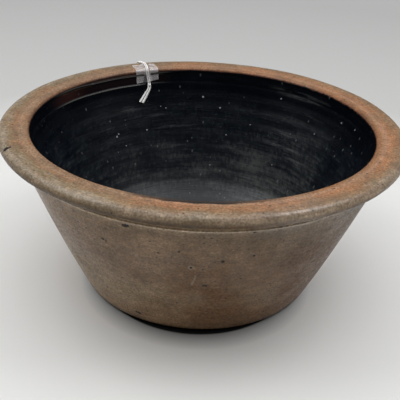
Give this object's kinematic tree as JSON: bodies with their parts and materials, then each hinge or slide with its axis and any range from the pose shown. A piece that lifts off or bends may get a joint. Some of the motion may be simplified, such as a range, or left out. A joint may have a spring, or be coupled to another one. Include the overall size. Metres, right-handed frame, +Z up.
{
  "type": "stoneware bowl",
  "caption": "Wide flaring stoneware bowl with a heavy rolled rim, bare brown clay outside and a dark glaze inside; a cotton tag string is taped over its rim.",
  "frame": {"origin": "on the surface that the bowl stands on, at the centre of its foot", "axes": "+Z up along the axis the bowl was turned on; the picture looks along +Y, with +X to the right"},
  "size_m": [0.276, 0.276, 0.12],
  "materials": {
    "stoneware": "fired clay, orange-peel surface, low sheen",
    "dark_glaze": "near-black glaze, semi-gloss, with throwing rings",
    "tape_film": "clear film, wrinkled",
    "cotton_string": "twisted cotton, matt"
  },
  "bodies": {
    "root": {"stoneware_body": "stoneware", "interior_glaze": "dark_glaze", "clear_tape": "tape_film", "tag_string_loop": "cotton_string", "tag_string_knot": "cotton_string", "tag_string_tail_left": "cotton_string", "tag_string_tail_right": "cotton_string"}
  },
  "joints": []
}
